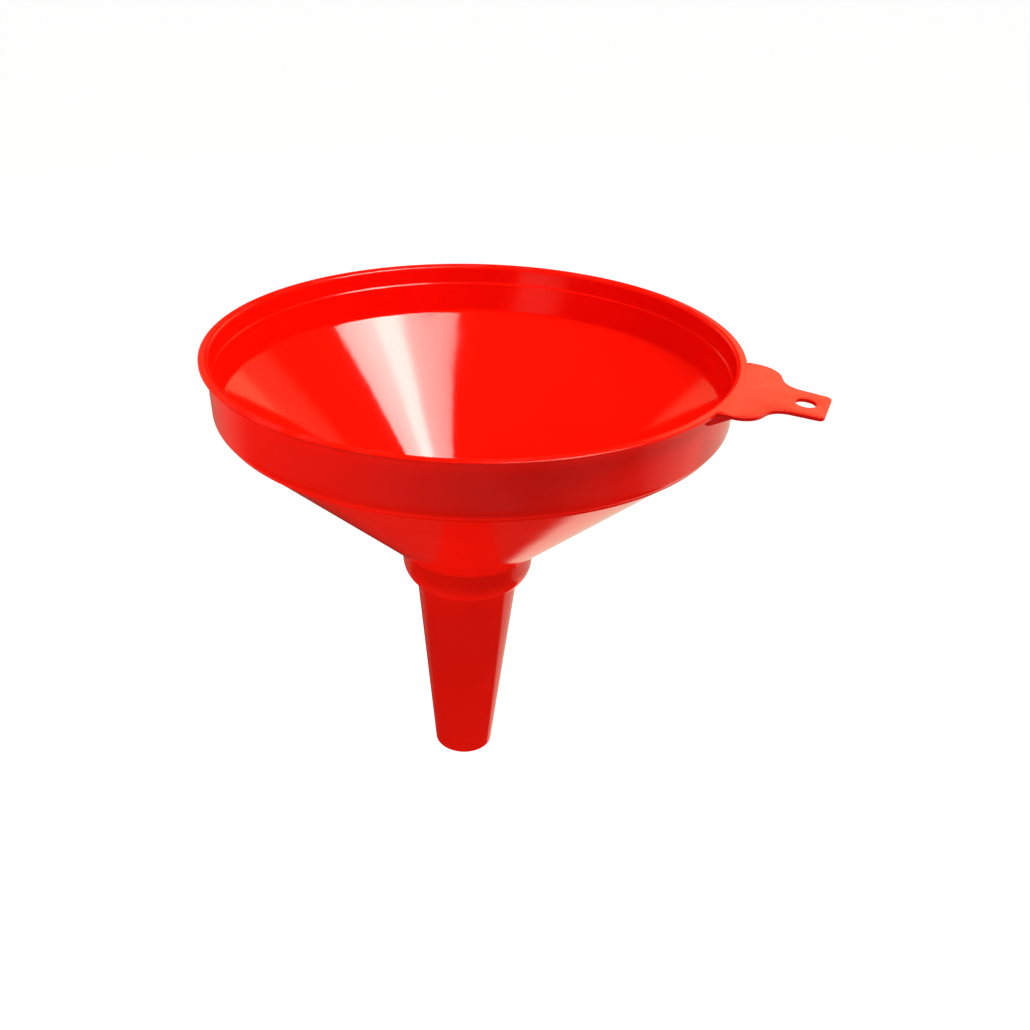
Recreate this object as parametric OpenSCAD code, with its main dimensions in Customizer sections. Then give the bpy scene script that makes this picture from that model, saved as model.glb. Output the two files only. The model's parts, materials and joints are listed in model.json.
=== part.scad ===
// Wide-mouth pouring funnel with a flat hang tab and a lift-out strainer.
// The funnel is one thin-walled plastic moulding, cut here into its named regions,
// which meet face to face. The strainer is a loose assembly that sits in the neck cup.
// Frame: the axis is Z with the mouth up, and z = 0 is the seam between cone and neck cup.
// The hang tab points along +X.

/* [Mouth] */
// Outside diameter of the rim lip
rim_d = 252.4; // [250:0.1:256]
// Thickness of the rim lip
lip_t = 1.6; // [1.2:0.1:2]
// How far the lip stands out past the band
lip_w = 3.2; // [2.5:0.1:4]
// Depth of the upright band, from the rim down to the corner's rounding
band_h = 23.8; // [18:0.1:30]
// Draft of the band over its depth, on the radius
band_draft = 0.8; // [0.3:0.1:1.5]
// Depth of the fine inner step below the rim
step_z = 9.4; // [6:0.1:12]
// How far the inner step stands in from the wall above it
step_w = 0.6; // [0.3:0.1:1]
// Outside radius of the rounding between band and cone
corner_r = 5.4; // [4:0.1:8]

/* [Shell] */
// Wall thickness of the band and the cone
wall = 2.4; // [2:0.1:3]
// Slope of the cone above the horizontal, in degrees
cone_angle = 42.9; // [38:0.1:48]

/* [Neck cup] */
// Outside radius of the upright land at the top of the cup
cup_r = 33.7; // [32:0.1:36]
// Height of that land
cup_land = 7; // [5:0.1:8]
// Outside radius of the cup's rounded flank
cup_round = 14.3; // [13:0.1:16]
// Wall thickness of the cup
cup_wall = 2.2; // [1.8:0.1:2.4]

/* [Spout] */
// Outside radius of the spout where it leaves the cup
spout_top_r = 26.6; // [26:0.1:28]
// Outside radius of the spout at its tip
spout_tip_r = 15.8; // [12:0.1:18]
// Length of the spout below the cup
spout_l = 111.7; // [80:0.1:140]
// Wall thickness at the spout's tip
tip_wall = 1.8; // [1.4:0.1:2.2]

/* [Hang tab] */
// Distance from the funnel's axis to the end of the tab
tab_reach = 163; // [160:0.5:170]
// Thickness of the tab
tab_t = 1.6; // [1.6:0.1:3]
// How far the tab droops below the rim plane, in degrees
tab_droop = 4; // [0:0.5:6]
// Half width of the tab at its root on the rim
tab_root_hw = 31.2; // [28:0.1:34]
// Half width of the tab at its outer end
tab_end_hw = 12.3; // [11:0.1:14]
// Radius of the hang hole
hole_r = 4.5; // [3:0.1:5]
// Distance from the funnel's axis to the centre of the hang hole
hole_x = 153.6; // [152:0.1:156]
// Depth of the two root gussets at the band, from the rim plane
gusset_h = 6.4; // [5:0.1:10]
// Thickness of each gusset
gusset_t = 2; // [1.5:0.1:2.5]

/* [Strainer] */
// Outside radius of the strainer frame
frame_r = 29.2; // [28.5:0.1:29.3]
// Inside radius of the strainer's rings
frame_in_r = 24; // [23:0.1:25]
// Height of the frame's ring and ribs
frame_h = 3; // [2:0.1:4]
// Width of each cross rib
rib_w = 2; // [1.5:0.1:3]
// Number of cross ribs
ribs = 4; // [3:1:6]
// Thickness of the gauze disc
gauze_t = 0.6; // [0.5:0.1:0.8]
// Thickness of the clamp ring under the gauze
clamp_t = 1.6; // [1.2:0.1:2]
// Radius of the pull knob
knob_r = 5; // [4:0.1:6]

/* [Hidden] */
$fn = 96;

plastic_red = "#e01208";
gauze_brass = "#b8923e";

lip_r = rim_d / 2;
band_top_r = lip_r - lip_w;
band_low_r = band_top_r - band_draft;
edge_r = 0.4;                              // rounding of the lip's and the tip's outer edges
far = 200;                                 // larger than any radius of the funnel
over = 1;                                  // how far a cut runs past the face that it opens
lap = 2;                                   // how far joined shapes run into each other

// Rounding between band and cone: both walls turn about one centre
corner_in_r = corner_r - wall;
corner_cx = band_low_r - corner_r;
cone_top = [corner_cx + corner_r * sin(cone_angle),
            (corner_cx + corner_r * sin(cone_angle) - cup_r) * tan(cone_angle)];
corner_cz = cone_top[1] + corner_r * cos(cone_angle);
rim_z = corner_cz + band_h;
cone_in_top = [corner_cx + corner_in_r * sin(cone_angle),
               corner_cz - corner_in_r * cos(cone_angle)];

// Neck cup: an upright land, a rounded flank, and a flat seat inside for the strainer
cup_in_r = cup_r - cup_wall;
cup_cx = cup_r - cup_round;
flank_h = 9.5;                             // height of the rounded flank
ledge_h = 1.3;                             // height of the short slant from the flank to the spout
floor_t = 2.5;                             // thickness of the cup's floor
cup_foot_z = -cup_land - flank_h;
cup_ledge_z = cup_foot_z - ledge_h;
seat_z = cup_ledge_z + floor_t;
cone_in_low_z = cone_in_top[1] - (cone_in_top[0] - cup_in_r) * tan(cone_angle);

tip_z = cup_ledge_z - spout_l;
spout_in_top_r = spout_top_r - cup_wall;
tip_in_r = spout_tip_r - tip_wall;

// Rim: where the lip region ends, and the wall above the inner step
lip_h = 3;                                 // depth of the lip region, with the top of the wall
lip_cut_z = rim_z - lip_h;
lip_round = 2;                             // rounding of the mouth's inner edge
top_thinning = 0.8;                        // how much thinner the wall is above the step
step_draft = 0.2;                          // draft of the wall above the step
wall_top_in_r = band_top_r - wall + top_thinning;
step_in_r = wall_top_in_r - step_draft;    // inner wall just above the step
step_slant = 0.4;                          // half the height over which the step leans in

// Hang tab outline: shoulder arcs, waist arcs and end corners
tab_root_x = 88;                           // where the outline starts, well inside the rim
shoulder_r = 12;
shoulder_x = 128;
shoulder_y = tab_root_hw - shoulder_r;
waist_r = 10;
waist_x = 150;
waist_taper = 0.6;                         // how much wider each side is at the waist than at the end
waist_y = tab_end_hw + waist_taper + waist_r;
tab_corner_r = 3;
tab_pivot_x = sqrt(pow(lip_r, 2) - pow(tab_root_hw, 2)); // the tab bends down about this line
tab_foot = 0.4;                            // extra depth of the tab's foot under the lip
tab_foot_w = 0.5;                          // how far the foot stands out past the lip
gusset_x = lip_r + tab_foot_w;
gusset_root_x = sqrt(pow(band_top_r, 2) - pow(tab_root_hw, 2));
gusset_top_z = rim_z - tab_t - tab_foot;

// Strainer, stacked up from the seat with a small clearance
seat_gap = 0.3;
clamp_z = seat_z + seat_gap;
gauze_z = clamp_z + clamp_t;
frame_z = gauze_z + gauze_t;
clamp_out_r = 27.6;
gauze_r = 27;
hub_r = 5;
post_r = 2.4;
knob_z = 1.5;                              // centre height of the pull knob
rib_turn = 45;                             // angle from the tab to the first rib

// Everything inside the outer surface, from the axis outwards
module outer_fill() {
    polygon([[0, tip_z], [spout_tip_r - edge_r, tip_z], [spout_tip_r, tip_z + edge_r],
             [spout_top_r, cup_ledge_z], [flank_r(cup_round, cup_foot_z), cup_foot_z],
             [cup_r, -cup_land], [cup_r, 0], cone_top, [band_low_r, corner_cz],
             [band_top_r, rim_z - lip_t / 2], [0, rim_z - lip_t / 2]]);
    translate([corner_cx, corner_cz]) circle(corner_r);
    cup_flank(cup_round, cup_foot_z);
    lip_section();
}

// Rounded flank of the cup, cut flat at its foot
module cup_flank(r, foot_z) {
    intersection() {
        translate([cup_cx, -cup_land]) circle(r);
        translate([0, foot_z]) square([far, -cup_land - foot_z]);
    }
}

// Radius at which a flank arc of radius r reaches the height z
function flank_r(r, z) = cup_cx + sqrt(pow(r, 2) - pow(z + cup_land, 2));

// Rim lip with small rounded outer edges
module lip_section() {
    translate([0, rim_z - lip_t]) square([lip_r - edge_r, lip_t]);
    translate([0, rim_z - lip_t + edge_r]) square([lip_r, lip_t - 2 * edge_r]);
    translate([lip_r - edge_r, rim_z - edge_r]) circle(edge_r);
    translate([lip_r - edge_r, rim_z - lip_t + edge_r]) circle(edge_r);
}

// Everything inside the inner surface
module inner_fill() {
    polygon([[0, tip_z - over], [tip_in_r, tip_z - over], [spout_in_top_r, seat_z],
             [flank_r(cup_round - cup_wall, seat_z), seat_z], [cup_in_r, -cup_land],
             [cup_in_r, cone_in_low_z], cone_in_top, [corner_cx + corner_in_r, corner_cz],
             [step_in_r - step_w, rim_z - step_z - step_slant],
             [step_in_r, rim_z - step_z + step_slant], [wall_top_in_r, rim_z - lip_round],
             [wall_top_in_r, rim_z + over], [0, rim_z + over]]);
    translate([corner_cx, corner_cz]) circle(corner_in_r);
    cup_flank(cup_round - cup_wall, seat_z);
    mouth_rounding();
}

// Rounds the inner edge of the lip's top face
module mouth_rounding() {
    difference() {
        translate([wall_top_in_r - lap, rim_z - lip_round]) square([lip_round + lap, lip_round + over]);
        translate([wall_top_in_r + lip_round, rim_z - lip_round]) circle(lip_round);
    }
}

// One region of the moulding, between two heights
module region(z_low, z_high) {
    rotate_extrude()
        intersection() {
            difference() {
                outer_fill();
                inner_fill();
            }
            translate([0, z_low]) square([far, z_high - z_low]);
        }
}

// Lip that stiffens the mouth, with the top of the band wall
module rim_lip() {
    color(plastic_red) region(lip_cut_z, rim_z);
}

// Upright wall of the mouth, with the fine step inside
module bowl_band() {
    color(plastic_red) region(corner_cz, lip_cut_z);
}

// Cone from the rounded corner down to the neck
module bowl_cone() {
    color(plastic_red) region(0, corner_cz);
}

// Cup that holds the strainer, with its flat seat
module neck_cup() {
    color(plastic_red) region(cup_ledge_z, 0);
}

// Tapered spout, open at its tip
module spout() {
    color(plastic_red) region(tip_z, cup_ledge_z);
}

// Flat outline of the tab: shoulder at the rim, waist, and a square end with round corners
module tab_outline() {
    difference() {
        union() {
            translate([tab_root_x, -tab_root_hw]) square([shoulder_x - tab_root_x, 2 * tab_root_hw]);
            for (side = [-1, 1]) translate([shoulder_x, side * shoulder_y]) circle(shoulder_r);
            translate([shoulder_x - lap, -shoulder_y - lap])
                square([waist_x - shoulder_x + lap, 2 * (shoulder_y + lap)]);
            tab_end();
        }
        for (side = [-1, 1]) translate([waist_x, side * waist_y]) circle(waist_r);
    }
}

// Outer end of the tab, narrowing a little from the waist
module tab_end() {
    corner_x = tab_reach - tab_corner_r;
    corner_y = tab_end_hw - tab_corner_r;
    waist_hw = tab_end_hw + waist_taper;
    polygon([[waist_x - lap, -waist_hw], [waist_x, -waist_hw], [corner_x, -tab_end_hw],
             [corner_x, tab_end_hw], [waist_x, waist_hw], [waist_x - lap, waist_hw]]);
    translate([corner_x - lap, -corner_y]) square([tab_corner_r + lap, 2 * corner_y]);
    for (side = [-1, 1]) translate([corner_x, side * corner_y]) circle(tab_corner_r);
}

// Flat tab, flush with the top of the lip at its root, drooping a little towards its end,
// with a foot under the lip that meets the band
module hang_tab() {
    color(plastic_red) {
        difference() {
            translate([tab_pivot_x, 0, rim_z]) rotate([0, tab_droop, 0])
                translate([-tab_pivot_x, 0, -tab_t]) difference() {
                    linear_extrude(tab_t) tab_outline();
                    translate([hole_x, 0, -over]) cylinder(r = hole_r, h = tab_t + 2 * over);
                }
            cylinder(r = lip_r, h = rim_z + tab_reach);
        }
        translate([0, 0, rim_z - tab_t - tab_foot]) linear_extrude(tab_t + tab_foot - lip_t)
            difference() {
                intersection() {
                    translate([0, -tab_root_hw]) square([far, 2 * tab_root_hw]);
                    circle(lip_r + tab_foot_w);
                }
                circle(band_top_r);
            }
    }
}

// Triangular web under each edge of the tab's root, standing on the band
module tab_gussets() {
    color(plastic_red) difference() {
        for (side = [-1, 1])
            translate([0, side * (tab_root_hw - gusset_t / 2) + gusset_t / 2, 0])
                rotate([90, 0, 0]) linear_extrude(gusset_t)
                    polygon([[gusset_root_x, rim_z - gusset_h], [gusset_x, gusset_top_z],
                             [gusset_root_x, gusset_top_z]]);
        cylinder(r = band_top_r, h = rim_z, $fn = 360);
    }
}

// Moulded strainer frame: ring, cross ribs, hub and a knob to lift it out by
module strainer_frame() {
    color(plastic_red) {
        translate([0, 0, frame_z]) union() {
            difference() {
                cylinder(r = frame_r, h = frame_h);
                translate([0, 0, -over]) cylinder(r = frame_in_r, h = frame_h + 2 * over);
            }
            cylinder(r = hub_r, h = frame_h);
            for (i = [0 : ribs - 1]) rotate([0, 0, rib_turn + i * 360 / ribs])
                translate([0, -rib_w / 2, 0]) cube([frame_in_r + lap, rib_w, frame_h]);
            cylinder(r = post_r, h = knob_z - frame_z);
        }
        rotate_extrude() intersection() {
            translate([0, knob_z]) circle(knob_r);
            translate([0, knob_z - knob_r / 2]) square([knob_r, knob_r]);
        }
    }
}

// Woven gauze, simplified to a thin disc
module strainer_gauze() {
    color(gauze_brass) translate([0, 0, gauze_z]) cylinder(r = gauze_r, h = gauze_t);
}

// Ring that clamps the gauze up against the frame
module strainer_clamp_ring() {
    color(plastic_red) translate([0, 0, clamp_z]) difference() {
        cylinder(r = clamp_out_r, h = clamp_t);
        translate([0, 0, -over]) cylinder(r = frame_in_r, h = clamp_t + 2 * over);
    }
}

rim_lip();
bowl_band();
bowl_cone();
neck_cup();
spout();
hang_tab();
tab_gussets();
strainer_frame();
strainer_gauze();
strainer_clamp_ring();
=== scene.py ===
import json
import math

import bmesh
import bpy
import numpy as np
from mathutils import Matrix, Vector


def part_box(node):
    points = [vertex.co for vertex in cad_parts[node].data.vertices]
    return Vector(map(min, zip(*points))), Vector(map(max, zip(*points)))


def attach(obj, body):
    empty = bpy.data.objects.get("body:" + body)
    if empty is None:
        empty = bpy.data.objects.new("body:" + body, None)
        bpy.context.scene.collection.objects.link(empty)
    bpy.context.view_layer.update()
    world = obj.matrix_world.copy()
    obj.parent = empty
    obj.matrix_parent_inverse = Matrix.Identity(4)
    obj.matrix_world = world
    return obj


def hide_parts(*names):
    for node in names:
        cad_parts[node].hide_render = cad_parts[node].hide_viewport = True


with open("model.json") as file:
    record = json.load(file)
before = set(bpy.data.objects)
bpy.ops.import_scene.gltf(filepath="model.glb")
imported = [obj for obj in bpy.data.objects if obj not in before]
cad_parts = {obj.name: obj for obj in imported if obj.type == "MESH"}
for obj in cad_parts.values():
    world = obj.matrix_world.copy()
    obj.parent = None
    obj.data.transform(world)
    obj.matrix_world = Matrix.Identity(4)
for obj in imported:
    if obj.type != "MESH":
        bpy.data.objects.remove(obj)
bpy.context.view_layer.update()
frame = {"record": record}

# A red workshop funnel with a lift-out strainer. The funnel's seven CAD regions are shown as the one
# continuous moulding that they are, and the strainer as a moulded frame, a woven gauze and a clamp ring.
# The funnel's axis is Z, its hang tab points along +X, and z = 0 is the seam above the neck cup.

MM = 0.001

# ---------------------------------------------------------------- sizes, read from the frame

lip_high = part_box("rim_lip")[1]
cone_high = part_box("bowl_cone")[1]
cup_low, cup_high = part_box("neck_cup")
spout_low, spout_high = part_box("spout")
tab_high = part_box("hang_tab")[1]
gusset_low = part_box("tab_gussets")[0]
hole = next(m for m in frame["record"]["mounts"] if m["name"] == "hang_hole")

LIP_R = lip_high.y
RIM_Z = lip_high.z
BAND_LOW_R = cone_high.y
CORNER_Z = cone_high.z         # where the band's wall starts to turn into the cone
CUP_R = cup_high.y
LEDGE_Z = cup_low.z
SPOUT_TOP_R = spout_high.y
TIP_Z = spout_low.z
TAB_END_X = tab_high.x
TAB_ROOT_HW = tab_high.y
GUSSET_Z = gusset_low.z
HOLE_R = hole["dims"]["r_mm"] * MM
HOLE_X = hole["pos_m"][0]
TAB_T = hole["dims"]["length_mm"] * MM
TAB_DROOP = math.atan2(hole["axis"][0], hole["axis"][2])

# ---------------------------------------------------------------- sizes of the moulding's own detail

LIP_T = 1.6 * MM
LIP_W = 3.2 * MM               # how far the lip stands out past the band
LIP_ROUND = 1.9 * MM           # rounding of the mouth's inner edge
WALL = 2.4 * MM
WALL_THINNING = 0.8 * MM       # above the inner step
WALL_DRAFT = 0.2 * MM          # over the wall above the step
CONE_SLOPE = math.radians(42.9)
CORNER_R = 5.4 * MM
BEAD_H = 0.6 * MM              # fine bead where the band's corner runs into the cone
STEP_DEPTH = 9.4 * MM          # the fine inner step, below the rim
STEP_W = 0.6 * MM
STEP_LEAN = 0.35 * MM          # half the height over which the step leans in
CUP_LAND = 7.0 * MM
CUP_ROUND = 14.3 * MM
CUP_WALL = 2.2 * MM
CUP_FOOT_Z = LEDGE_Z + 1.3 * MM
SEAT_Z = LEDGE_Z + 2.5 * MM
TIP_R = 15.8 * MM
TIP_WALL = 1.8 * MM
SHOULDER_R = 12.0 * MM         # round shoulders of the tab, at its root
SHOULDER_X = 128.0 * MM
WAIST_R = 10.0 * MM            # round waist, between shoulder and end
WAIST_X = 150.0 * MM
TAB_END_HW = 12.3 * MM
TAB_TAPER = 0.6 * MM           # how much wider each side is at the waist than at the end
TAB_CORNER_R = 3.0 * MM
TAB_EDGE_R = 0.15 * MM
TAB_SUNK = 2.4 * MM            # how far the tab's root reaches into the lip
TAB_BEND = 3.0 * MM            # length over which the tab bends down, centred on the lip's edge
HOLE_EDGE_R = 0.12 * MM
GUSSET_T = 2.0 * MM
TURNS = 360                    # facets round the funnel's axis
STRAINER_TURNS = 180
STRAINER_IN_R = 24.0 * MM
STRAINER_H = 3.0 * MM
STRAINER_STEP = 1.1 * MM       # depth of the step round the ring's top edge
STRAINER_STEP_W = 0.9 * MM
RIB_COUNT = 4
RIB_HW = 1.0 * MM
RIB_START = 3.0 * MM           # inside the hub
HUB_R = 4.9 * MM
POST_R = 2.4 * MM
KNOB_R = 5.0 * MM
WIRE_R = 0.13 * MM
WIRE_PITCH = 1.0 * MM
GAUZE_MARGIN = 0.3 * MM        # the wires stop this far inside the gauze's rim


# ---------------------------------------------------------------- building blocks

def arc(centre, radius, start, end, count):
    """Points on an arc, angles in degrees, both ends included."""
    angles = np.radians(np.linspace(start, end, count))
    return [(centre[0] + radius * math.cos(a), centre[1] + radius * math.sin(a)) for a in angles]


def rounded_loop(corners, step_angle=9, longest=8 * MM, guard=0.25 * MM):
    """Closed outline through corners (x, y, fillet radius). Straight stretches get guard points
    beside each fillet, so that smooth shading stays flat between fillets, and are cut to longest."""
    count = len(corners)
    stations = []
    for i, (x, y, radius) in enumerate(corners):
        here = np.array((x, y))
        before = np.array(corners[i - 1][:2]) - here
        after = np.array(corners[(i + 1) % count][:2]) - here
        room = min(np.linalg.norm(before), np.linalg.norm(after)) * 0.49
        before, after = before / np.linalg.norm(before), after / np.linalg.norm(after)
        inside = math.acos(max(-1, min(1, float(before @ after))))
        if radius <= 0 or inside > math.radians(179.5):
            stations.append([here])
            continue
        cut = min(radius / math.tan(inside / 2), room)
        radius = cut * math.tan(inside / 2)
        bisector = (before + after) / np.linalg.norm(before + after)
        centre = here + bisector * radius / math.sin(inside / 2)
        first, last = here + before * cut - centre, here + after * cut - centre
        turn = math.atan2(first[0] * last[1] - first[1] * last[0], float(first @ last))
        pieces = max(2, round(abs(math.degrees(turn)) / step_angle))
        points = []
        for k in range(pieces + 1):
            a = turn * k / pieces
            points.append(centre + np.array((first[0] * math.cos(a) - first[1] * math.sin(a),
                                             first[0] * math.sin(a) + first[1] * math.cos(a))))
        stations.append(points)
    outline = []
    for i, points in enumerate(stations):
        outline.extend(points)
        start, end = points[-1], stations[(i + 1) % count][0]
        length = np.linalg.norm(end - start)
        if length > 4 * guard:
            along = (end - start) / length
            cuts = max(1, math.ceil((length - 2 * guard) / longest))
            for k in range(cuts + 1):
                outline.append(start + along * (guard + (length - 2 * guard) * k / cuts))
    return [tuple(p) for p in outline]


def add_object(name, mesh, smooth_angle=35):
    mesh.shade_smooth()
    mesh.set_sharp_from_angle(angle=math.radians(smooth_angle))
    obj = bpy.data.objects.new(name, mesh)
    bpy.context.scene.collection.objects.link(obj)
    return obj


def mesh_from(name, vertices, faces):
    mesh = bpy.data.meshes.new(name)
    mesh.from_pydata([tuple(v) for v in vertices], [], faces)
    mesh.update()
    return mesh


def spin(name, outline, turns=TURNS):
    """Closed ring solid: a closed (radius, z) outline turned about Z."""
    count = len(outline)
    vertices, faces = [], []
    for i in range(turns):
        a = 2 * math.pi * i / turns
        vertices.extend((r * math.cos(a), r * math.sin(a), z) for r, z in outline)
    for i in range(turns):
        here, there = i * count, (i + 1) % turns * count
        for k in range(count):
            n = (k + 1) % count
            faces.append((here + k, there + k, there + n, here + n))
    return outward(mesh_from(name, vertices, faces))


def spin_solid(name, outline, turns):
    """Solid of revolution: an open (radius, z) outline whose two ends lie on the axis."""
    ring = outline[1:-1]
    count = len(ring)
    vertices, faces = [(0, 0, outline[0][1]), (0, 0, outline[-1][1])], []
    for i in range(turns):
        a = 2 * math.pi * i / turns
        vertices.extend((r * math.cos(a), r * math.sin(a), z) for r, z in ring)
    for i in range(turns):
        here, there = 2 + i * count, 2 + (i + 1) % turns * count
        faces.append((0, there, here))
        faces.append((1, here + count - 1, there + count - 1))
        for k in range(count - 1):
            faces.append((here + k, there + k, there + k + 1, here + k + 1))
    return outward(mesh_from(name, vertices, faces))


def outward(mesh):
    work = bmesh.new()
    work.from_mesh(mesh)
    bmesh.ops.recalc_face_normals(work, faces=work.faces)
    work.to_mesh(mesh)
    work.free()
    return mesh


def inset(outline, amount):
    """The closed outline with each point moved in along its normal. The outline runs anticlockwise."""
    points = np.array(outline)
    along = np.roll(points, -1, axis=0) - np.roll(points, 1, axis=0)
    along /= np.linalg.norm(along, axis=1)[:, None]
    inward = np.stack([-along[:, 1], along[:, 0]], axis=1)
    return points + inward * amount


def slab(name, outline, thickness, edge, holes=(), hole_edge=0.0):
    """Flat plate from z = -thickness to 0 with rounded edges, its outline anticlockwise.
    Each hole is an outline of its own, running clockwise, with its own edge rounding."""
    angles = np.radians(np.linspace(0, 90, 5))
    work = bmesh.new()
    caps = ([], [])
    for loop, rounding in ((outline, edge), *((hole_loop, hole_edge) for hole_loop in holes)):
        steps = [(rounding * (1 - math.sin(a)), -rounding * (1 - math.cos(a))) for a in angles]
        layers = steps + [(shrink, -thickness - drop) for shrink, drop in reversed(steps)]
        rings = []
        for shrink, z in layers:
            ring = [work.verts.new((x, y, z)) for x, y in inset(loop, shrink)]
            rings.append(ring)
        for upper, lower in zip(rings, rings[1:]):
            for k in range(len(upper)):
                n = (k + 1) % len(upper)
                work.faces.new((upper[k], lower[k], lower[n], upper[n]))
        for cap, ring in zip(caps, (rings[0], rings[-1])):
            cap.extend(work.edges.get((ring[k], ring[(k + 1) % len(ring)])) for k in range(len(ring)))
    for cap in caps:
        bmesh.ops.triangle_fill(work, use_beauty=True, edges=cap)
    bmesh.ops.recalc_face_normals(work, faces=work.faces)
    mesh = bpy.data.meshes.new(name)
    work.to_mesh(mesh)
    work.free()
    return mesh


def prism(name, section, start, end):
    """Bar along +X from start to end with a closed (y, z) section, anticlockwise."""
    count = len(section)
    vertices = [(x, y, z) for x in (start, end) for y, z in section]
    faces = [(k, (k + 1) % count, count + (k + 1) % count, count + k) for k in range(count)]
    faces += [tuple(reversed(range(count))), tuple(range(count, 2 * count))]
    return outward(mesh_from(name, vertices, faces))


def cut_across(mesh, places):
    """Adds edges where planes x = place cross the mesh, so that it can bend there."""
    work = bmesh.new()
    work.from_mesh(mesh)
    for x in places:
        everything = work.verts[:] + work.edges[:] + work.faces[:]
        bmesh.ops.bisect_plane(work, geom=everything, plane_co=(x, 0, 0), plane_no=(1, 0, 0))
    work.to_mesh(mesh)
    work.free()


def join_solids(name, meshes):
    """One watertight mesh from overlapping closed meshes."""
    parts = []
    for mesh in meshes:
        part = bpy.data.objects.new(mesh.name, mesh)
        bpy.context.scene.collection.objects.link(part)
        parts.append(part)
    base = parts[0]
    for tool in parts[1:]:
        union = base.modifiers.new("union", "BOOLEAN")
        union.operation = "UNION"
        union.solver = "EXACT"
        union.object = tool
    bpy.context.view_layer.update()
    evaluated = base.evaluated_get(bpy.context.evaluated_depsgraph_get())
    mesh = bpy.data.meshes.new_from_object(evaluated)
    mesh.name = name
    for part in parts:
        bpy.data.objects.remove(part)
    return mesh


# ---------------------------------------------------------------- the moulding

def funnel_section():
    """Closed section of the whole moulding, anticlockwise from the tip: up the outside, down the inside."""
    slope = math.tan(CONE_SLOPE)
    band_top_r = LIP_R - LIP_W
    lip_under = RIM_Z - LIP_T
    # the corner's two roundings share one centre; their outlines meet at a sharp point before rounding
    corner_x = BAND_LOW_R - CORNER_R

    def sharp_corner(radius):
        r, z = corner_x + radius * math.sin(CONE_SLOPE), CORNER_Z - radius * math.cos(CONE_SLOPE)
        return corner_x + radius, z + (corner_x + radius - r) * slope

    in_r = CORNER_R - WALL
    wall_r, wall_z = sharp_corner(in_r)
    band_r, band_z = sharp_corner(CORNER_R)
    top_r = band_top_r - WALL + WALL_THINNING
    step_r = top_r - WALL_DRAFT
    cup_in = CUP_R - CUP_WALL
    cup_x = CUP_R - CUP_ROUND
    foot = math.degrees(math.asin((CUP_FOOT_Z + CUP_LAND) / CUP_ROUND))
    flank = [(r, z, 0) for r, z in arc((cup_x, -CUP_LAND), CUP_ROUND, foot, 0, 14)]
    flank[0] = (*flank[0][:2], 0.8 * MM)
    inner_round = CUP_ROUND - CUP_WALL
    seat = math.degrees(math.asin((SEAT_Z + CUP_LAND) / inner_round))
    inner_flank = [(r, z, 0) for r, z in arc((cup_x, -CUP_LAND), inner_round, 0, seat, 12)]
    inner_flank[-1] = (*inner_flank[-1][:2], 0.6 * MM)
    bead = []
    for down, out, fillet in ((1.9 * MM, 0, 0.3 * MM), (1.2 * MM, BEAD_H, 0.4 * MM), (0.5 * MM, 0, 0.3 * MM)):
        reach = CORNER_R + out
        bead.append((corner_x + reach * math.sin(CONE_SLOPE) - down * math.cos(CONE_SLOPE),
                     CORNER_Z - reach * math.cos(CONE_SLOPE) - down * math.sin(CONE_SLOPE), fillet))
    return rounded_loop([
        (TIP_R, TIP_Z, 0.4 * MM),
        (SPOUT_TOP_R, LEDGE_Z, 0.5 * MM),
        *flank,
        (CUP_R, 0, 0.5 * MM),
        *bead,
        (band_r, band_z, CORNER_R),
        (band_top_r, lip_under, 0.4 * MM),
        (LIP_R, lip_under, 0.35 * MM),
        (LIP_R, RIM_Z, 0.5 * MM),
        (top_r, RIM_Z, LIP_ROUND),
        (step_r, RIM_Z - STEP_DEPTH + STEP_LEAN, 0.12 * MM),
        (step_r - STEP_W, RIM_Z - STEP_DEPTH - STEP_LEAN, 0.12 * MM),
        (wall_r, wall_z, in_r),
        (cup_in, wall_z - (wall_r - cup_in) * slope, 0.8 * MM),
        *inner_flank,
        (SPOUT_TOP_R - CUP_WALL, SEAT_Z, 0.5 * MM),
        (TIP_R - TIP_WALL, TIP_Z, 0.4 * MM),
    ])


def tab_outline():
    """Outline of the hang tab, anticlockwise from the middle of its end. One side is drawn, then mirrored."""
    shoulder = (SHOULDER_X, TAB_ROOT_HW - SHOULDER_R)
    waist = (WAIST_X, TAB_END_HW + TAB_TAPER + WAIST_R)
    corner = (TAB_END_X - TAB_CORNER_R, TAB_END_HW - TAB_CORNER_R)
    root_r = LIP_R - TAB_SUNK
    root_angle = math.degrees(math.asin(TAB_ROOT_HW / root_r))
    root_x = root_r * math.cos(math.radians(root_angle))
    across, along = waist[1] - shoulder[1], waist[0] - shoulder[0]
    # the straight piece between the two arcs touches both of them
    apart = math.hypot(along, across)
    touch = math.degrees(math.atan2(across, along) + math.acos((SHOULDER_R + WAIST_R) / apart))
    half = [(TAB_END_X, 0)]
    half += arc(corner, TAB_CORNER_R, 0, 88, 9)
    half += arc(waist, WAIST_R, -90, touch - 180, 14)
    half += arc(shoulder, SHOULDER_R, touch, 90, 14)
    half += [(root_x + (shoulder[0] - root_x) * k / 4, TAB_ROOT_HW) for k in (3, 2, 1)]
    half += arc((0, 0), root_r, root_angle, root_angle / 9, 5)
    mirrored = [(x, -y) for x, y in reversed(half[1:])]
    return half + mirrored


def droop(x):
    """How far the tab has dropped at distance x from the axis: it bends smoothly just outside the lip."""
    past = x - (LIP_R - TAB_BEND / 2)
    if past <= 0:
        return 0
    if past < TAB_BEND:
        return math.tan(TAB_DROOP) * past * past / (2 * TAB_BEND)
    return math.tan(TAB_DROOP) * (past - TAB_BEND / 2)


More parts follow.
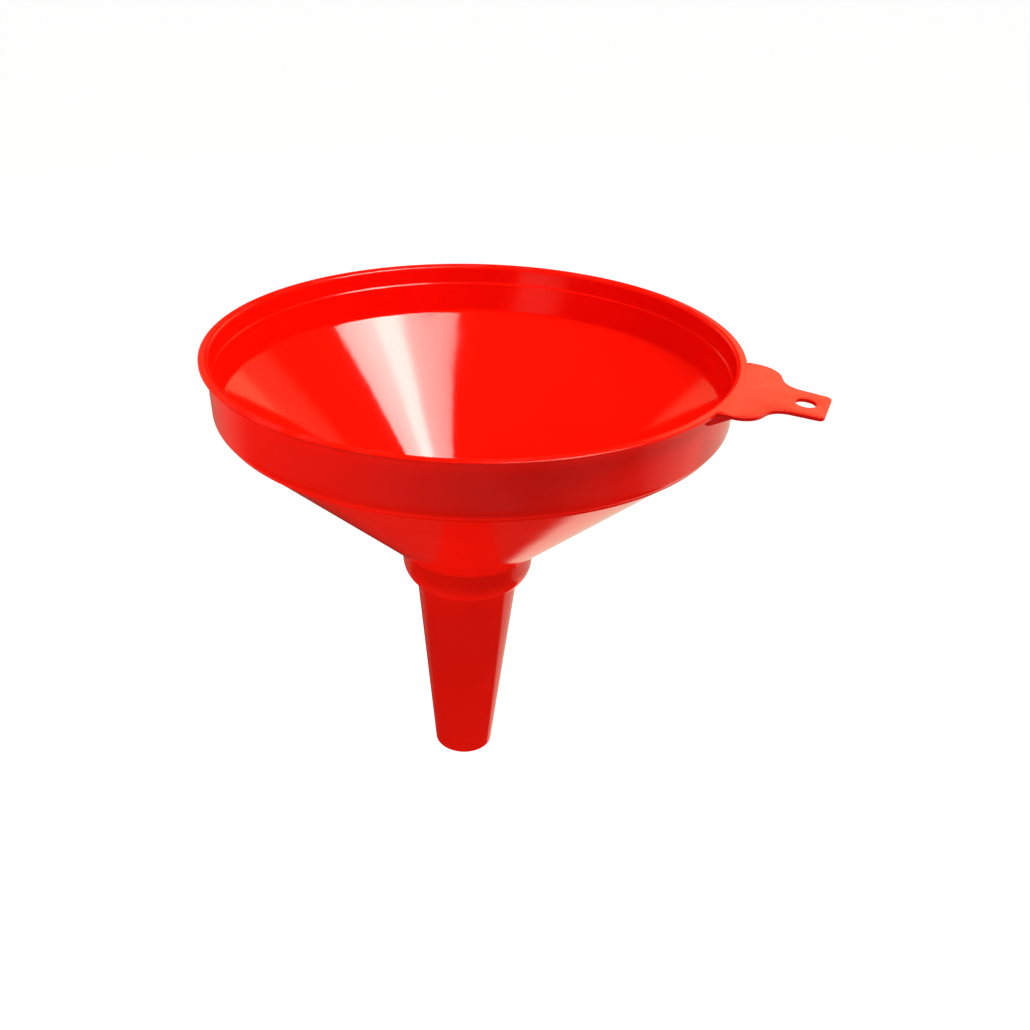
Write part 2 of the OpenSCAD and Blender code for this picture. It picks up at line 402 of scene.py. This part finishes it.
def hang_tab():
    circle = [(HOLE_X + x, y) for x, y in arc((0, 0), HOLE_R, 360, 0, 61)[:-1]]
    mesh = slab("tab", tab_outline(), TAB_T, TAB_EDGE_R, [circle], HOLE_EDGE_R)
    cut_across(mesh, [LIP_R + k * 0.5 * MM for k in range(-3, 6)])
    for v in mesh.vertices:
        v.co.z += RIM_Z - droop(v.co.x)
    return mesh


def gusset(side):
    """Triangular web under one edge of the tab, from the band to the tab's underside."""
    sunk, inset_y = 1.2 * MM, 0.02 * MM    # into the band's wall, and in from the tab's edge
    top = RIM_Z - TAB_T + 0.4 * MM         # a little inside the tab
    root = math.sqrt((LIP_R - LIP_W) ** 2 - TAB_ROOT_HW ** 2)
    outline = rounded_loop([(root - sunk, GUSSET_Z, 0.3 * MM), (root + 0.8 * MM, GUSSET_Z, 0.5 * MM),
                            (LIP_R + LIP_W, top, 0.3 * MM), (root - sunk, top, 0.3 * MM)])
    mesh = slab("gusset", outline, GUSSET_T, 0.25 * MM)
    place = side * (TAB_ROOT_HW - GUSSET_T / 2 - inset_y) - GUSSET_T / 2
    mesh.transform(Matrix.Translation((0, place, 0)) @ Matrix.Rotation(math.pi / 2, 4, "X"))
    return outward(mesh)


def funnel():
    solids = [spin("shell", funnel_section()), hang_tab(), gusset(-1), gusset(1)]
    mesh = join_solids("funnel_moulding", solids)
    obj = add_object("funnel_moulding", mesh)
    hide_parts("rim_lip", "bowl_band", "bowl_cone", "neck_cup", "spout", "hang_tab", "tab_gussets")
    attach(obj, "funnel")
    return obj


# ---------------------------------------------------------------- the strainer

def strainer_ring(bottom, top, radius):
    shelf, neck_r = top - STRAINER_STEP, radius - STRAINER_STEP_W
    outline = [(STRAINER_IN_R, bottom, 0.4 * MM), (radius, bottom, 0.6 * MM), (radius, shelf, 0.3 * MM),
               (neck_r, shelf, 0.3 * MM), (neck_r, top, 0.6 * MM), (STRAINER_IN_R, top, 0.6 * MM)]
    return spin("ring", rounded_loop(outline), STRAINER_TURNS)


def strainer_knob(bottom, ring_top, knob_top):
    """Hub, post and knob, turned about Z."""
    root_fillet, neck_fillet, facets = 1.8 * MM, 1 * MM, 96
    hub = [(0, bottom + 0.05 * MM), (HUB_R - 0.7 * MM, bottom + 0.05 * MM), (HUB_R, bottom + 0.5 * MM),
           (HUB_R, ring_top - 0.9 * MM), (HUB_R - 0.4 * MM, ring_top - 0.4 * MM)]
    post = arc((POST_R + root_fillet, ring_top + 1.4 * MM), root_fillet, 265, 180, 7)
    post += arc((POST_R + neck_fillet, knob_top - 5.6 * MM), neck_fillet, 180, 110, 5)
    knob = [(KNOB_R - 0.7 * MM, knob_top - 4.2 * MM)]
    knob += arc((0, knob_top - 2.6 * MM), KNOB_R, -16, 24, 8)
    knob += [(3.6 * MM, knob_top - 0.12 * MM), (2.2 * MM, knob_top - 0.02 * MM), (0, knob_top)]
    return spin_solid("knob", hub + post + knob, facets)


def strainer_rib(index, bottom, ring_top):
    foot, top, top_hw = bottom + 0.1 * MM, ring_top - 0.25 * MM, RIB_HW * 0.8
    section = rounded_loop([(-RIB_HW, foot, 0.2 * MM), (RIB_HW, foot, 0.2 * MM),
                            (top_hw, top, 0.5 * MM), (-top_hw, top, 0.5 * MM)], 15)
    rib = prism("rib", section, RIB_START, STRAINER_IN_R + 1 * MM)
    rib.transform(Matrix.Rotation(math.radians(45 + index * 360 / RIB_COUNT), 4, "Z"))
    return rib


def strainer_frame():
    """Ring, cross ribs, hub, post and knob, moulded in one piece."""
    low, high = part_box("strainer_frame")
    ring_top = low.z + STRAINER_H
    solids = [strainer_ring(low.z, ring_top, high.y), strainer_knob(low.z, ring_top, high.z)]
    solids += [strainer_rib(i, low.z, ring_top) for i in range(RIB_COUNT)]
    obj = add_object("strainer_basket", join_solids("strainer_basket", solids))
    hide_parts("strainer_frame")
    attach(obj, "strainer")
    return obj


def gauze():
    """Plain-woven wire disc: round wires that pass over and under each other."""
    low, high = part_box("strainer_gauze")
    reach, mid = high.y - GAUZE_MARGIN, (low.z + high.z) / 2
    sides, per_wave = 6, 8         # facets round a wire, and stations along one wave of it
    lift = WIRE_R * 1.05
    vertices, faces = [], []
    count = int(reach / WIRE_PITCH)
    for along_x in (True, False):
        for i in range(-count, count + 1):
            across = i * WIRE_PITCH
            half = math.sqrt(reach ** 2 - across ** 2)
            steps = max(2, int(2 * half / (2 * WIRE_PITCH) * per_wave))
            base = len(vertices)
            for k in range(steps + 1):
                place = -half + 2 * half * k / steps
                wave = math.cos(math.pi * place / WIRE_PITCH + math.pi * (i + (0 if along_x else 1)))
                for side in range(sides):
                    a = 2 * math.pi * side / sides
                    offset, z = across + WIRE_R * math.cos(a), mid + lift * wave + WIRE_R * math.sin(a)
                    vertices.append((place, offset, z) if along_x else (offset, place, z))
            for k in range(steps):
                for side in range(sides):
                    n = (side + 1) % sides
                    faces.append((base + k * sides + side, base + k * sides + n,
                                  base + (k + 1) * sides + n, base + (k + 1) * sides + side))
            first, last = base, base + steps * sides
            faces.append(tuple(first + side for side in range(sides)))
            faces.append(tuple(last + side for side in range(sides)))
    obj = add_object("strainer_wire_gauze", outward(mesh_from("gauze", vertices, faces)), 80)
    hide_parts("strainer_gauze")
    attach(obj, "strainer")
    return obj


def clamp_ring():
    low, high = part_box("strainer_clamp_ring")
    mesh = spin("clamp", rounded_loop([
        (STRAINER_IN_R, low.z, 0.5 * MM), (high.y, low.z, 0.5 * MM), (high.y, high.z, 0.2 * MM),
        (STRAINER_IN_R, high.z, 0.2 * MM)]), STRAINER_TURNS)
    obj = add_object("strainer_snap_ring", mesh)
    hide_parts("strainer_clamp_ring")
    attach(obj, "strainer")
    return obj


moulding = funnel()
basket = strainer_frame()
wires = gauze()
snap_ring = clamp_ring()


# ---------------------------------------------------------------- materials

class NodeSums:
    """Short names for the sums and textures that the node trees below need."""

    def __init__(self, tree):
        self.tree = tree
        self.place = tree.nodes.new("ShaderNodeTexCoord")

    def put(self, socket, value):
        if isinstance(value, bpy.types.NodeSocket):
            self.tree.links.new(value, socket)
        else:
            socket.default_value = value

    def sum(self, operation, a, b=0.0):
        node = self.tree.nodes.new("ShaderNodeMath")
        node.operation = operation
        self.put(node.inputs[0], a)
        self.put(node.inputs[1], b)
        return node.outputs["Value"]

    def step(self, value, start, end, low=0.0, high=1.0):
        """Smooth rise from low to high while the value goes from start to end."""
        node = self.tree.nodes.new("ShaderNodeMapRange")
        node.interpolation_type = "SMOOTHSTEP"
        self.put(node.inputs["Value"], value)
        node.inputs["From Min"].default_value, node.inputs["From Max"].default_value = start, end
        node.inputs["To Min"].default_value, node.inputs["To Max"].default_value = low, high
        return node.outputs["Result"]

    def noise(self, scale, detail=2.0, stretch=(1, 1, 1)):
        """Object-space noise with about `scale` features per metre."""
        mapping = self.tree.nodes.new("ShaderNodeMapping")
        mapping.inputs["Scale"].default_value = stretch
        self.tree.links.new(self.place.outputs["Object"], mapping.inputs["Vector"])
        texture = self.tree.nodes.new("ShaderNodeTexNoise")
        texture.inputs["Scale"].default_value = scale
        texture.inputs["Detail"].default_value = detail
        self.tree.links.new(mapping.outputs["Vector"], texture.inputs["Vector"])
        return texture.outputs["Fac"]

    def coordinates(self):
        split = self.tree.nodes.new("ShaderNodeSeparateXYZ")
        self.tree.links.new(self.place.outputs["Object"], split.inputs["Vector"])
        return [split.outputs[axis] for axis in "XYZ"]

    def blend(self, factor, first, second):
        node = self.tree.nodes.new("ShaderNodeMix")
        node.data_type = "RGBA"
        self.put(node.inputs["Factor"], factor)
        for name, value in (("A", first), ("B", second)):
            colour_socket = next(i for i in node.inputs if i.name == name and i.type == "RGBA")
            self.put(colour_socket, value if isinstance(value, bpy.types.NodeSocket) else (*value, 1))
        return next(o for o in node.outputs if o.type == "RGBA")

    def bump(self, height, distance, strength, below=None):
        node = self.tree.nodes.new("ShaderNodeBump")
        node.inputs["Distance"].default_value = distance
        node.inputs["Strength"].default_value = strength
        self.put(node.inputs["Height"], height)
        if below is not None:
            self.tree.links.new(below, node.inputs["Normal"])
        return node.outputs["Normal"]


def new_material(name):
    material = bpy.data.materials.new(name)
    material.use_nodes = True
    return material, material.node_tree.nodes["Principled BSDF"]


def moulded_plastic(name, colour, polished, satin, rub_heights):
    """Moulded polyethylene, polished on the cone and spout and satin on the band, lip and tab: faint
    mottling, orange peel, ring marks from the turned mould, light scuffs, and duller, paler
    rub marks at the heights that knock against things."""
    material, shader = new_material(name)
    tree = material.node_tree
    m = NodeSums(tree)
    x, y, z = m.coordinates()

    rubs = 0.0
    for start, end in rub_heights:
        rubs = m.sum("ADD", m.step(z, start, end), rubs)
    rubs = m.sum("MULTIPLY", rubs, m.step(m.noise(70, 5), 0.45, 0.75))
    # handling scuffs: short strokes, long along Z, that only show in a few places
    scuffs = m.step(m.noise(90, 2, (6, 6, 0.5)), 0.62, 0.8)
    scuffs = m.sum("MULTIPLY", scuffs, m.step(m.noise(14, 1), 0.55, 0.65))

    mottle = m.step(m.noise(18, 3), 0.3, 0.7)
    body = m.blend(mottle, tuple(c * 0.92 for c in colour), colour)
    pale = tuple(c + (0.9 - c) * 0.015 for c in colour)
    tree.links.new(m.blend(m.sum("MULTIPLY", rubs, 0.7), body, pale), shader.inputs["Base Color"])

    dull = m.step(z, CORNER_Z - 2 * MM, CORNER_Z + 3 * MM, polished, satin)
    dull = m.sum("MULTIPLY", dull, m.step(m.noise(40, 4), 0.3, 0.7, 0.85, 1.2))
    dull = m.sum("ADD", dull, m.sum("MULTIPLY", rubs, 0.04))
    dull = m.sum("ADD", dull, m.sum("MULTIPLY", scuffs, 0.015))
    tree.links.new(dull, shader.inputs["Roughness"])
    shader.inputs["IOR"].default_value = 1.5

    ring_spacing = 1.1 * MM
    radius = m.sum("SQRT", m.sum("ADD", m.sum("MULTIPLY", x, x), m.sum("MULTIPLY", y, y)))
    rings = m.sum("SINE", m.sum("MULTIPLY", radius, 2 * math.pi / ring_spacing))
    normal = m.bump(rings, 0.0015 * MM, 1.0)
    normal = m.bump(m.noise(260, 3), 0.12 * MM, 0.2, normal)
    normal = m.bump(m.noise(22, 1), 0.8 * MM, 0.3, normal)
    tree.links.new(normal, shader.inputs["Normal"])
    return material


def woven_brass():
    """Drawn brass wire, tarnished in patches and along each wire."""
    material, shader = new_material("gauze_brass")
    tree = material.node_tree
    m = NodeSums(tree)
    tarnish = m.step(m.noise(220, 4), 0.35, 0.7)
    tree.links.new(m.blend(tarnish, (0.86, 0.66, 0.28), (0.66, 0.47, 0.19)), shader.inputs["Base Color"])
    tree.links.new(m.step(m.noise(900, 2), 0.3, 0.7, 0.24, 0.42), shader.inputs["Roughness"])
    shader.inputs["Metallic"].default_value = 1
    return material


def dress(piece, material):
    piece.data.materials.clear()
    piece.data.materials.append(material)


# each rub starts to show at the first height and is full at the second
rim_rub = (RIM_Z - 1.2 * MM, RIM_Z - 0.1 * MM)
tip_rub = (TIP_Z + 2.5 * MM, TIP_Z + 0.2 * MM)
knob_rub = (2 * MM, 4 * MM)
dress(moulding, moulded_plastic("red_polyethylene", (0.96, 0.0055, 0.001), 0.07, 0.14, [rim_rub, tip_rub]))
strainer_plastic = moulded_plastic("strainer_polyethylene", (0.74, 0.012, 0.004), 0.26, 0.26, [knob_rub])
dress(basket, strainer_plastic)
dress(snap_ring, strainer_plastic)
dress(wires, woven_brass())


# ---------------------------------------------------------------- floor, light and camera

def pale_floor():
    """White sweep, lit from within and brightest under the funnel. Glossy plastic doesn't mirror it."""
    half, gap = 8.0, 0.2 * MM      # a hair below the tip, so that the two never share a plane
    mesh = mesh_from("floor", [(-half, -half, 0), (half, -half, 0), (half, half, 0), (-half, half, 0)],
                     [(0, 1, 2, 3)])
    obj = bpy.data.objects.new("floor", mesh)
    bpy.context.scene.collection.objects.link(obj)
    obj.location.z = TIP_Z - gap
    material, shader = new_material("floor_paint")
    tree = material.node_tree
    m = NodeSums(tree)
    shader.inputs["Base Color"].default_value = (0.12, 0.12, 0.12, 1)
    shader.inputs["Roughness"].default_value = 0.9
    shader.inputs["Specular IOR Level"].default_value = 0
    shader.inputs["Emission Color"].default_value = (1, 1, 1, 1)
    distance = tree.nodes.new("ShaderNodeVectorMath")
    distance.operation = "LENGTH"
    tree.links.new(m.place.outputs["Object"], distance.inputs[0])
    seen = tree.nodes.new("ShaderNodeLightPath").outputs["Is Camera Ray"]
    glow = m.step(distance.outputs["Value"], 0.08, 0.45, 1.28, 0.74)
    glow = m.sum("MAXIMUM", glow, m.sum("MULTIPLY", seen, 0.98))
    tree.links.new(glow, shader.inputs["Emission Strength"])
    material.cycles.emission_sampling = "NONE"
    mesh.materials.append(material)
    obj.visible_glossy = False


def softbox(name, place, size, radiance, target=(0, 0, 0), mirrored=True):
    """Rectangular studio light. One that isn't mirrored fills the shade but leaves no highlight."""
    light = bpy.data.lights.new(name, "AREA")
    light.shape = "RECTANGLE"
    light.size, light.size_y = size
    light.energy = radiance * math.pi * size[0] * size[1]
    obj = bpy.data.objects.new(name, light)
    bpy.context.scene.collection.objects.link(obj)
    obj.location = place
    obj.rotation_euler = (Vector(target) - Vector(place)).to_track_quat("-Z", "Y").to_euler()
    obj.visible_glossy = mirrored
    return obj


def side_strip(name, place, radiance, target):
    """Low light with a narrow beam, set below the rim so that it brightens the band and not the mouth."""
    light = softbox(name, place, (0.3, 0.12), radiance, target, mirrored=False)
    light.data.spread = math.radians(14)


def overhead_softbox():
    """Wide box light above the right shoulder, facing down: bright along a tube, dimmer towards its edges."""
    height, length, width, turn = 1.3, 0.58, 0.83, math.radians(-29.4)
    along, across, peak = 0.47, 0.355, 21.5
    x = along * math.cos(turn) - across * math.sin(turn)
    y = along * math.sin(turn) + across * math.cos(turn)
    obj = softbox("overhead", (x, y, height), (length, width), peak)
    obj.rotation_euler = (0, 0, turn)
    obj.data.use_nodes = True
    tree = obj.data.node_tree
    emission = next(n for n in tree.nodes if n.type == "EMISSION")
    place = tree.nodes.new("ShaderNodeSeparateXYZ")
    tree.links.new(tree.nodes.new("ShaderNodeNewGeometry").outputs["Parametric"], place.inputs["Vector"])
    ramp = tree.nodes.new("ShaderNodeValToRGB")
    # brightness from one long edge of the box to the other
    stops = [(0, 0.27), (0.1, 0.38), (0.32, 0.5), (0.37, 0.65), (0.42, 1), (0.58, 1), (0.64, 0.74), (1, 0.46)]
    elements = ramp.color_ramp.elements
    while len(elements) < len(stops):
        elements.new(0.5)
    for element, (position, grey) in zip(elements, stops):
        element.position = position
        element.color = (grey, grey * 0.98, grey * 0.90, 1)
    tree.links.new(place.outputs["Y"], ramp.inputs["Fac"])
    tree.links.new(ramp.outputs["Color"], emission.inputs["Color"])
    # the side towards the middle of the room is masked, except at the box's dim end
    m = NodeSums(tree)
    mask_width = m.step(place.outputs["Y"], 0.10, 0.19, 0.0, 0.14)
    past_mask = m.sum("SUBTRACT", place.outputs["X"], mask_width)
    m.put(emission.inputs["Strength"], m.step(past_mask, -0.01, 0.02))


def studio_walls():
    """World light. The room is dim. A long low pale wall stands to the right and behind, its top edge just
    above the horizon, with a smaller pale patch to the left and warm lit patches higher up behind.
    Below the horizon the world is red: a painted reflection that stands in for a table mirroring the funnel's
    red."""
    world = bpy.data.worlds.new("studio")
    world.use_nodes = True
    bpy.context.scene.world = world
    tree = world.node_tree
    m = NodeSums(tree)
    direction = m.place.outputs["Generated"]
    split = tree.nodes.new("ShaderNodeSeparateXYZ")
    tree.links.new(direction, split.inputs["Vector"])

    def towards(azimuth, elevation):
        """Cosine of the angle between the looked-up direction and the one given in degrees."""
        a, e = math.radians(azimuth), math.radians(elevation)
        cosine = tree.nodes.new("ShaderNodeVectorMath")
        cosine.operation = "DOT_PRODUCT"
        cosine.inputs[1].default_value = (math.cos(a) * math.cos(e), math.sin(a) * math.cos(e), math.sin(e))
        tree.links.new(direction, cosine.inputs[0])
        return cosine.outputs["Value"]

    def patch(azimuth, elevation, inner, outer, brightness):
        """Round soft patch: its direction and its inner and outer radius, all in degrees."""
        start, end = math.cos(math.radians(outer)), math.cos(math.radians(inner))
        return m.step(towards(azimuth, elevation), start, end, 0, brightness)

    height = split.outputs["Z"]
    azimuth = m.sum("ARCTAN2", split.outputs["Y"], split.outputs["X"])
    level = m.sum("SQRT", m.sum("SUBTRACT", 1, m.sum("MULTIPLY", height, height)))
    wall = m.step(azimuth, math.radians(-4), math.radians(50), 0, 0.72)
    wall = m.sum("MULTIPLY", wall, m.step(azimuth, math.radians(108), math.radians(120), 1, 0))
    # in perspective the wall's lower edge sinks towards azimuth 95, where the wall comes nearest
    foot = m.sum("ADD", m.sum("MULTIPLY", towards(95, 0), 0.65), m.sum("MULTIPLY", level, 0.5))
    foot = m.sum("ADD", height, foot)
    wall = m.sum("MULTIPLY", wall, m.step(foot, -0.035, 0.065))
    wall = m.sum("MULTIPLY", wall, m.step(height, -0.15, 0.1, 1, 0))
    cool = m.sum("ADD", wall, patch(152, -14, 10, 34, 0.22))
    dim_room = 0.02
    warm = m.sum("ADD", patch(90, 22, 7, 13, 0.75), patch(138, 20, 5, 13, 0.45))
    warm = m.sum("ADD", warm, patch(72, 26, 3, 16, 0.35))
    warm = m.sum("ADD", warm, dim_room)
    # painted reflection: red world light below the horizon, in place of a table that would mirror the
    # funnel's red
    below = m.step(height, -0.5, -0.7, 0, 0.25)
    total = m.sum("ADD", m.sum("ADD", cool, warm), below)
    seen = tree.nodes.new("ShaderNodeLightPath").outputs["Is Camera Ray"]
    tint = m.blend(m.sum("DIVIDE", warm, total), (1, 0.97, 0.78), (1, 0.9, 0.45))
    tint = m.blend(m.sum("DIVIDE", below, total), tint, (1, 0.02, 0.01))
    background = tree.nodes["Background"]
    tree.links.new(m.blend(seen, tint, (1, 1, 1)), background.inputs["Color"])
    tree.links.new(m.sum("MAXIMUM", total, seen), background.inputs["Strength"])


def camera():
    data = bpy.data.cameras.new("camera")
    data.lens = 38.81
    data.sensor_width = 36
    data.shift_x, data.shift_y = 0.0595, 0.0644
    data.clip_start = 0.01
    obj = bpy.data.objects.new("camera", data)
    bpy.context.scene.collection.objects.link(obj)
    azimuth, pitch, roll = math.radians(23.4), math.radians(32.41), math.radians(0.83)
    turn = (Matrix.Rotation(azimuth, 4, "Z") @ Matrix.Rotation(math.pi / 2 - pitch, 4, "X")
            @ Matrix.Rotation(roll, 4, "Z"))
    obj.matrix_world = Matrix.Translation((0.1917, -0.4607, RIM_Z + 0.1843)) @ turn
    bpy.context.scene.camera = obj


pale_floor()
studio_walls()
overhead_softbox()
side_strip("left_strip", (-0.98, -0.69, 0.04), 1.0, (-0.06, -0.05, 0.11))
side_strip("right_strip", (0.98, 0.69, 0.04), 0.45, (0.06, 0.05, 0.09))
softbox("mouth_fill", (0, 0.02, 0.95), (0.22, 0.22), 42, mirrored=False)
camera()
bpy.context.scene.view_settings.view_transform = "Standard"
